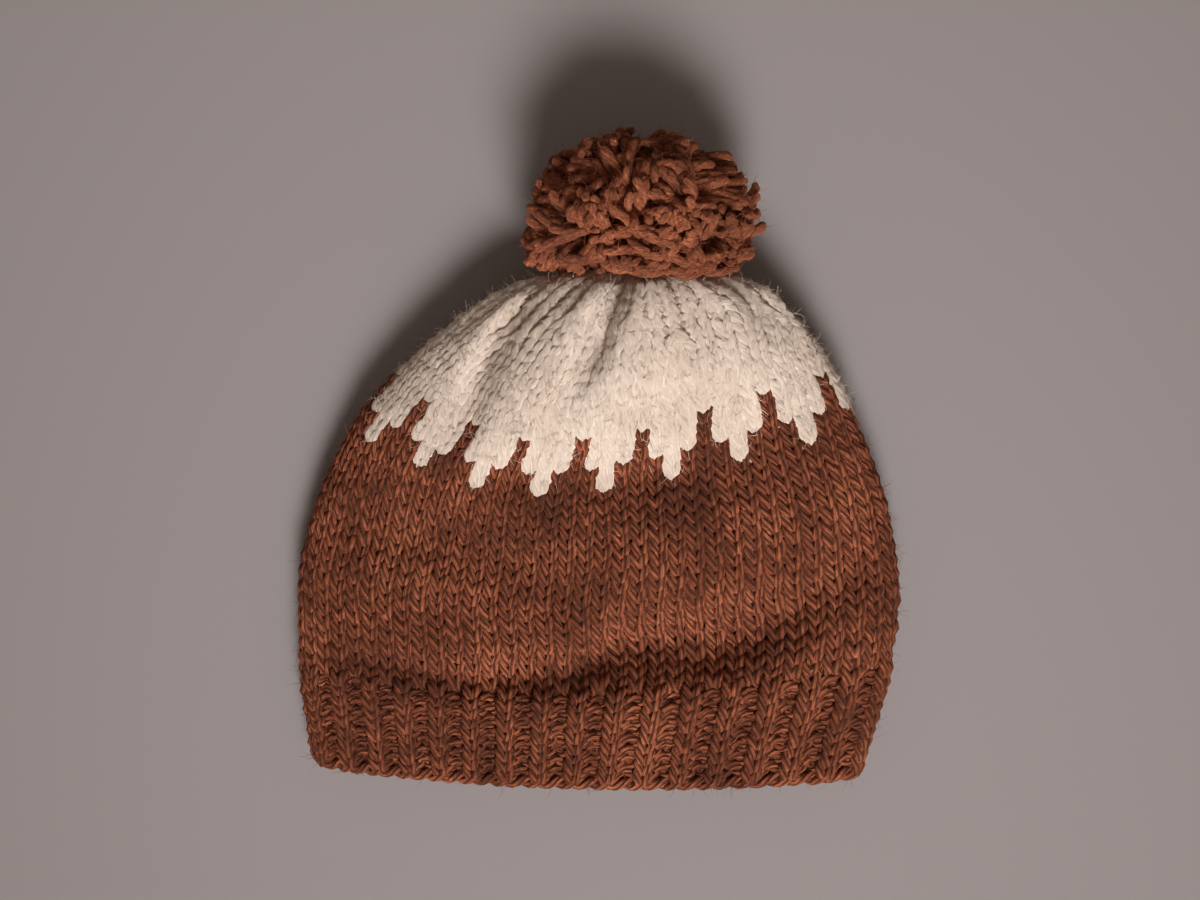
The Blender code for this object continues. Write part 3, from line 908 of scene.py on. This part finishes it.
# Pompom. About a thousand cut ends of the rust yarn, tied tightly round the middle and
# sewn to the pole. The ends spring out in small tufts and lean over, side by side, so
# that their sides show.
POMPOM_HALF = np.array([0.0345, 0.0280, 0.0290])   # across, along and up, unpressed
POMPOM_SEAT = 0.0155     # from its middle to its pressed side
POMPOM_OVERLAP = 0.004   # how far it sits down over the pole
POMPOM_SPREAD = 0.09     # how much wider its pressed side is
POMPOM_LIFT = 0.0275     # its middle's height over the table
SEAT_CURVE_ACROSS = 4.0  # how fast the hat's top falls away under it: sideways
SEAT_CURVE_UP = 16.0     # and up and down
STRANDS = 1280
PRESSED_AWAY = 0.65      # share of the ends that find no room where the hat presses hardest
STRAND_SAMPLES = 7
STRAND_RADIUS = 0.00132
ROOT_THICK = 0.4         # an end's thickness at its root and at its cut tip
TIP_THICK = 0.66
# The values from here on are shares of the pompom's half size.
STRAND_JITTER = 0.04
ROOT_DEPTH = 0.24        # how deep an end comes from, and how sharply it then turns
ROOT_TURN = 1.8
LAYERS = (0.17, 0.0, 0.06, 0.0)   # how far the ends in turn lie under the outermost
TRAVEL = (0.20, 0.34)    # least and most that an end leans over
SWAY = 0.05              # most that it waves sideways
TUFTS = 170
TUFT_JITTER = 0.07
TUFT_REACH = (0.91, 1.03)
TUFT_STAND = 0.14        # most that a tuft's tips stand out
TUFT_SPLAY = 0.22        # how unlike the leans within a tuft are
pole = fabric_point(np.array([0.5]), np.array([1.0]))[0]
pompom_centre = np.array([pole[0], pole[1] + POMPOM_SEAT - POMPOM_OVERLAP, POMPOM_LIFT])


def settle(points):
    """Takes points of a unit ball to the pompom, flattened where it rests."""
    far = np.linalg.norm(points, axis=1, keepdims=True)
    rim = points / far * (POMPOM_HALF - STRAND_RADIUS)
    pressed = np.tanh(np.maximum(-rim[:, 1], 0.0) / POMPOM_SEAT)
    rim[:, 0] *= 1 + POMPOM_SPREAD * pressed
    rim[:, 1] = np.where(rim[:, 1] < 0, -POMPOM_SEAT * pressed, rim[:, 1])
    x, y, z = (rim * far + pompom_centre).T
    seat = pole[1] - SEAT_CURVE_ACROSS * (x - pole[0]) ** 2 - SEAT_CURVE_UP * (z - pole[2]) ** 2
    y = np.maximum(y, seat + STRAND_RADIUS)
    return np.stack([x, y, np.maximum(z, STRAND_RADIUS)], axis=-1)


def spread_over_ball(n, count):
    """Directions spread evenly over a ball by the golden angle."""
    up = 1 - 2 * (n + 0.5) / count
    turn = n * math.pi * (3 - math.sqrt(5))
    flat = math.sqrt(1 - up * up)
    return np.array([flat * math.cos(turn), flat * math.sin(turn), up])


# Each tuft has its own lean, reach and stand, which its ends share.
pompom_noise = np.random.default_rng(12)
tuft_ways = np.array([spread_over_ball(n, TUFTS) for n in range(TUFTS)])
tuft_ways = tuft_ways + pompom_noise.normal(0.0, TUFT_JITTER, tuft_ways.shape)
tuft_leans = pompom_noise.normal(0.0, 1.0, tuft_ways.shape)
tuft_reaches = pompom_noise.uniform(*TUFT_REACH, TUFTS)
tuft_stands = pompom_noise.uniform(0.0, TUFT_STAND, TUFTS)
strand_runs = []
for n in range(STRANDS):
    way = spread_over_ball(n, STRANDS) + pompom_noise.normal(0.0, STRAND_JITTER, 3)
    way /= np.linalg.norm(way)
    # Fewer ends fit where the hat presses them together.
    crowding = math.tanh(max(-way[1], 0.0) * POMPOM_HALF[1] / POMPOM_SEAT)
    if pompom_noise.random() < PRESSED_AWAY * crowding**2:
        continue
    tuft = np.argmin(np.linalg.norm(tuft_ways - way, axis=1))
    lean = tuft_leans[tuft] + pompom_noise.normal(0.0, TUFT_SPLAY, 3)
    sideways = lean - way * (lean @ way)
    sideways /= np.linalg.norm(sideways)
    third = np.cross(way, sideways)
    layer = LAYERS[n % len(LAYERS)]
    reach = tuft_reaches[tuft] + pompom_noise.uniform(-0.06, 0.03) - layer
    travel = pompom_noise.uniform(*TRAVEL)
    sway = pompom_noise.uniform(-SWAY, SWAY)
    along = np.linspace(0.0, 1.0, STRAND_SAMPLES)[:, None]
    depth = ROOT_DEPTH * (1 - along) ** ROOT_TURN
    radial = reach - depth + tuft_stands[tuft] * (along - 0.5)
    line = way * radial + sideways * travel * (along - 0.4) + third * sway * np.sin(along * 4.0)
    length = np.linalg.norm(line, axis=1, keepdims=True)
    line = line * np.minimum(1.0, (reach + 0.4 * tuft_stands[tuft]) / length)
    path = settle(line)
    # The inner ends are thicker, so that no gap between the outer ones shows the inside.
    thick = 0.95 + 2.0 * layer + 0.08 * pompom_noise.normal() + 0.10 * along[:, 0] ** 2
    thick[0] *= ROOT_THICK
    thick[-1] *= TIP_THICK
    strand_runs.append((path, along[:, 0], thick, np.repeat(way[None], STRAND_SAMPLES, 0), False))

# Some long ends lie along the seat at the front, over the cream.
SEAT_ENDS = 5
SEAT_END_SPACING = 0.0064
SEAT_END_HEIGHT = 0.0305
SEAT_END_BOW = 0.0020    # how far each bows out over the cream
for n in range(SEAT_ENDS):
    along = np.linspace(0.0, 1.0, STRAND_SAMPLES)
    start = 0.001 + SEAT_END_SPACING * n
    x = start + (0.010 + 0.003 * (n % 3)) * along
    y = pole[1] - 0.0010 * (n % 2) - SEAT_END_BOW * np.sin(along * math.pi) - 0.0002 * n
    z = SEAT_END_HEIGHT + 0.0016 * (n % 3) + SEAT_END_BOW * np.sin(along * math.pi)
    seat_strand = np.stack([x, y, z], axis=-1)
    away = np.tile([0.0, -0.5, 0.86], (STRAND_SAMPLES, 1))
    strand_runs.append((seat_strand, along, 1.0 - 0.4 * along**6, away, False))

# Cut ends untwist and felt a little, so their plies are blurred and their fibre is loose; the darker
# groove colour is a light painted shade between the plies.
POMPOM_WOOL = plied_wool(
    "rust_wool_cut_ends",
    dark="#5f3321",
    middle="#80472f",
    light="#9b5a3e",
    ply_groove_shade="#4c2a1b",
    sheen=0.9,
    plies_show=0.35,
    fibres_show=0.7,
    halo=0.2,
    stretch=0.35,
)
pompom = grow(
    "pompom_strands",
    path_mesh("strand_paths", strand_runs, STRAND_RADIUS),
    YARN,
    {"Radius": STRAND_RADIUS, "Sides": 6, "Wool": POMPOM_WOOL},
)
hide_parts("pompom")
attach(pompom, "root")
pompom_fuzz = grow(
    "pompom_fuzz",
    pompom.data.copy(),
    FUZZ,
    {"Wool": POMPOM_WOOL, "Length": 0.0034, "Thickness": 0.00010, "Fibres": 100000.0, "Seed": 9},
)
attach(pompom_fuzz, "root")

# Floor, lights and camera. A plain warm grey sheet, one large soft light at the front
# whose edge falls near the hat, and a weak even fill, seen from straight above.
bpy.context.scene.view_settings.view_transform = "Standard"
floor_mesh = bpy.data.meshes.new("floor")
floor_mesh.from_pydata([(-3, -3, 0), (3, -3, 0), (3, 3, 0), (-3, 3, 0)], [], [(0, 1, 2, 3)])
floor = bpy.data.objects.new("floor", floor_mesh)
bpy.context.scene.collection.objects.link(floor)
# Uncoated paper: even, without any shine.
paper = bpy.data.materials.new("matt_grey_paper")
paper.use_nodes = True
paper.node_tree.nodes["Principled BSDF"].inputs["Base Color"].default_value = linear("#8b8382")
paper.node_tree.nodes["Principled BSDF"].inputs["Roughness"].default_value = 0.95
floor_mesh.materials.append(paper)

CAMERA_HEIGHT = 0.80
VIEW_WIDTH = 0.360     # the photograph's width on the table
VIEW_MIDDLE = (0.0, 0.0302)    # under the camera
LIT_MIDDLE = (0.018, 0.022)    # where both lights aim
camera_data = bpy.data.cameras.new("camera")
camera_data.sensor_width = 36.0
camera_data.lens = 36.0 * CAMERA_HEIGHT / VIEW_WIDTH
camera = bpy.data.objects.new("camera", camera_data)
camera.location = (*VIEW_MIDDLE, CAMERA_HEIGHT)
bpy.context.scene.collection.objects.link(camera)
bpy.context.scene.camera = camera

key_data = bpy.data.lights.new("softbox", "AREA")
key_data.shape = "DISK"
key_data.size = 0.80
key_data.energy = 2.3
key_data.spread = math.radians(36)
fill_data = bpy.data.lights.new("white_wall", "AREA")
fill_data.shape = "SQUARE"
fill_data.size = 1.2
fill_data.energy = 1.8
fill_data.color = linear("#ffeadb")[:3]
for data, azimuth, elevation, distance in ((key_data, 10, 47, 1.6), (fill_data, 15, 32, 1.4)):
    lamp = bpy.data.objects.new(data.name, data)
    azimuth = math.radians(azimuth)
    elevation = math.radians(elevation)
    toward = Vector(
        (
            math.sin(azimuth) * math.cos(elevation),
            -math.cos(azimuth) * math.cos(elevation),
            math.sin(elevation),
        )
    )
    lamp.location = Vector((*LIT_MIDDLE, 0.0)) + toward * distance
    lamp.rotation_euler = toward.to_track_quat("Z", "Y").to_euler()
    bpy.context.scene.collection.objects.link(lamp)
world = bpy.data.worlds.new("room")
world.use_nodes = True
world.node_tree.nodes["Background"].inputs["Color"].default_value = linear("#ffeadb")
world.node_tree.nodes["Background"].inputs["Strength"].default_value = 0.25
bpy.context.scene.world = world
